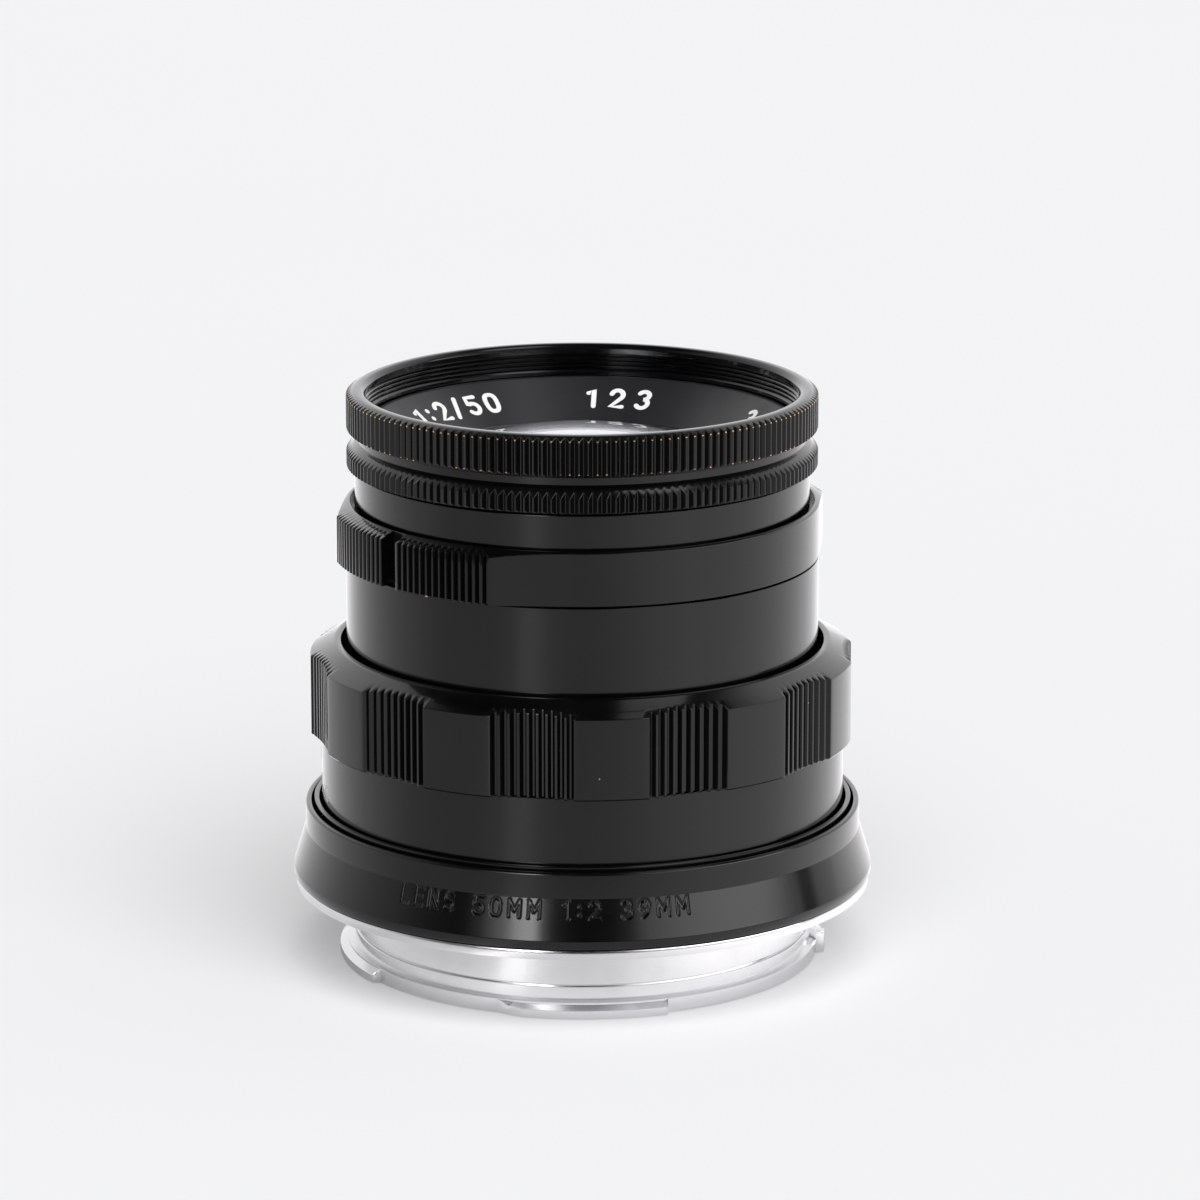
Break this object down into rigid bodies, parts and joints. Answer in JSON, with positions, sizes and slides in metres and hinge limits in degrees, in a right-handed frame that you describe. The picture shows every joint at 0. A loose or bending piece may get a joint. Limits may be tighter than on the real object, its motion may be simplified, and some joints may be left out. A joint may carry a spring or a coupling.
{
  "type": "rangefinder camera lens",
  "caption": "Manual camera lens standing on its lugged bayonet: deep skirt, ribbed focusing ring, aperture ring with two grips, knurled filter ring and domed front glass.",
  "frame": {"origin": "on the optical axis in the rear face of the bayonet, which is what the lens stands on", "axes": "+Z along the optical axis towards the front glass, +Y towards the index line"},
  "size_m": [0.0522, 0.0522, 0.0518],
  "materials": {
    "black_paint": "satin black paint over brass, worn to brass at edges",
    "black_anodised": "matt black anodised",
    "chrome": "bright chrome on fine turning lines",
    "brass": "turned",
    "aluminium": "turned",
    "steel": "turned",
    "blade_black": "blackened spring steel",
    "glass": "polished and coated",
    "red_bead": "gloss"
  },
  "bodies": {
    "mount": {"bayonet_mount": "chrome", "rear_skirt": "black_paint", "skirt_trim_ring": "black_paint", "index_bead": "red_bead", "guide_sleeve": "brass", "guide_key": "steel", "guide_key_screw": "steel", "focus_stop_pin": "steel", "mount_screw_1": "steel", "mount_screw_2": "steel", "mount_screw_3": "steel", "mount_screw_4": "steel"},
    "focus": {"focus_ring": "black_paint", "focus_helicoid": "brass", "focus_set_screw_1": "steel", "focus_set_screw_2": "steel", "focus_set_screw_3": "steel"},
    "head": {"aperture_snap_ring": "steel", "barrel_set_screw_1": "steel", "barrel_set_screw_2": "steel", "barrel_set_screw_3": "steel", "click_ball": "steel", "click_spring": "steel", "filter_ring": "black_paint", "front_cell": "black_anodised", "front_element_1": "glass", "front_element_2": "glass", "front_element_3": "glass", "front_retaining_ring": "black_anodised", "front_spacer": "aluminium", "head_barrel": "black_paint", "head_helicoid": "aluminium", "iris_housing": "black_anodised", "lens_head": "black_paint", "name_ring": "black_anodised", "rangefinder_cam": "brass", "rear_cell": "black_anodised", "rear_element_4": "glass", "rear_element_5": "glass", "rear_element_6": "glass", "rear_element_7": "glass", "rear_retaining_ring": "black_anodised", "rear_spacer": "aluminium"},
    "aperture": {"aperture_ring": "black_paint", "iris_drive_ring": "brass", "aperture_drive_arm": "brass", "aperture_drive_screw": "steel"},
    "blade_1": {"iris_blade_1": "blade_black"},
    "blade_2": {"iris_blade_2": "blade_black"},
    "blade_3": {"iris_blade_3": "blade_black"},
    "blade_4": {"iris_blade_4": "blade_black"},
    "blade_5": {"iris_blade_5": "blade_black"},
    "blade_6": {"iris_blade_6": "blade_black"},
    "blade_7": {"iris_blade_7": "blade_black"},
    "blade_8": {"iris_blade_8": "blade_black"},
    "blade_9": {"iris_blade_9": "blade_black"},
    "blade_10": {"iris_blade_10": "blade_black"}
  },
  "joints": [
    {"name": "focus_turn", "type": "hinge", "parent": "mount", "child": "focus", "pos_m": [0, 0, 0.0205], "axis": [0, 0, -1], "range_deg": [0, 95]},
    {"name": "head_slide", "type": "slide", "parent": "mount", "child": "head", "axis": [0, 0, 1], "range_m": [0, 0.0028]},
    {"name": "aperture_turn", "type": "hinge", "parent": "head", "child": "aperture", "pos_m": [0, 0, 0.0392], "axis": [0, 0, -1], "range_deg": [0, 72]},
    {"name": "blade_1_swing", "type": "hinge", "parent": "head", "child": "blade_1", "pos_m": [0.0156, 0, 0.02912], "axis": [0, 0, 1], "range_deg": [0, 32]},
    {"name": "blade_2_swing", "type": "hinge", "parent": "head", "child": "blade_2", "pos_m": [0.01262, 0.00917, 0.02936], "axis": [0, 0, 1], "range_deg": [0, 32]},
    {"name": "blade_3_swing", "type": "hinge", "parent": "head", "child": "blade_3", "pos_m": [0.00482, 0.01484, 0.0296], "axis": [0, 0, 1], "range_deg": [0, 32]},
    {"name": "blade_4_swing", "type": "hinge", "parent": "head", "child": "blade_4", "pos_m": [-0.00482, 0.01484, 0.02984], "axis": [0, 0, 1], "range_deg": [0, 32]},
    {"name": "blade_5_swing", "type": "hinge", "parent": "head", "child": "blade_5", "pos_m": [-0.01262, 0.00917, 0.03008], "axis": [0, 0, 1], "range_deg": [0, 32]},
    {"name": "blade_6_swing", "type": "hinge", "parent": "head", "child": "blade_6", "pos_m": [-0.0156, 0, 0.03032], "axis": [0, 0, 1], "range_deg": [0, 32]},
    {"name": "blade_7_swing", "type": "hinge", "parent": "head", "child": "blade_7", "pos_m": [-0.01262, -0.00917, 0.03056], "axis": [0, 0, 1], "range_deg": [0, 32]},
    {"name": "blade_8_swing", "type": "hinge", "parent": "head", "child": "blade_8", "pos_m": [-0.00482, -0.01484, 0.0308], "axis": [0, 0, 1], "range_deg": [0, 32]},
    {"name": "blade_9_swing", "type": "hinge", "parent": "head", "child": "blade_9", "pos_m": [0.00482, -0.01484, 0.03104], "axis": [0, 0, 1], "range_deg": [0, 32]},
    {"name": "blade_10_swing", "type": "hinge", "parent": "head", "child": "blade_10", "pos_m": [0.01262, -0.00917, 0.03128], "axis": [0, 0, 1], "range_deg": [0, 32]}
  ],
  "couplings": [
    {"joint": "focus_turn", "follows": "head_slide", "rad_per_m": 592.15},
    {"joint": "blade_1_swing", "follows": "aperture_turn", "ratio": 0.4444},
    {"joint": "blade_2_swing", "follows": "aperture_turn", "ratio": 0.4444},
    {"joint": "blade_3_swing", "follows": "aperture_turn", "ratio": 0.4444},
    {"joint": "blade_4_swing", "follows": "aperture_turn", "ratio": 0.4444},
    {"joint": "blade_5_swing", "follows": "aperture_turn", "ratio": 0.4444},
    {"joint": "blade_6_swing", "follows": "aperture_turn", "ratio": 0.4444},
    {"joint": "blade_7_swing", "follows": "aperture_turn", "ratio": 0.4444},
    {"joint": "blade_8_swing", "follows": "aperture_turn", "ratio": 0.4444},
    {"joint": "blade_9_swing", "follows": "aperture_turn", "ratio": 0.4444},
    {"joint": "blade_10_swing", "follows": "aperture_turn", "ratio": 0.4444}
  ]
}
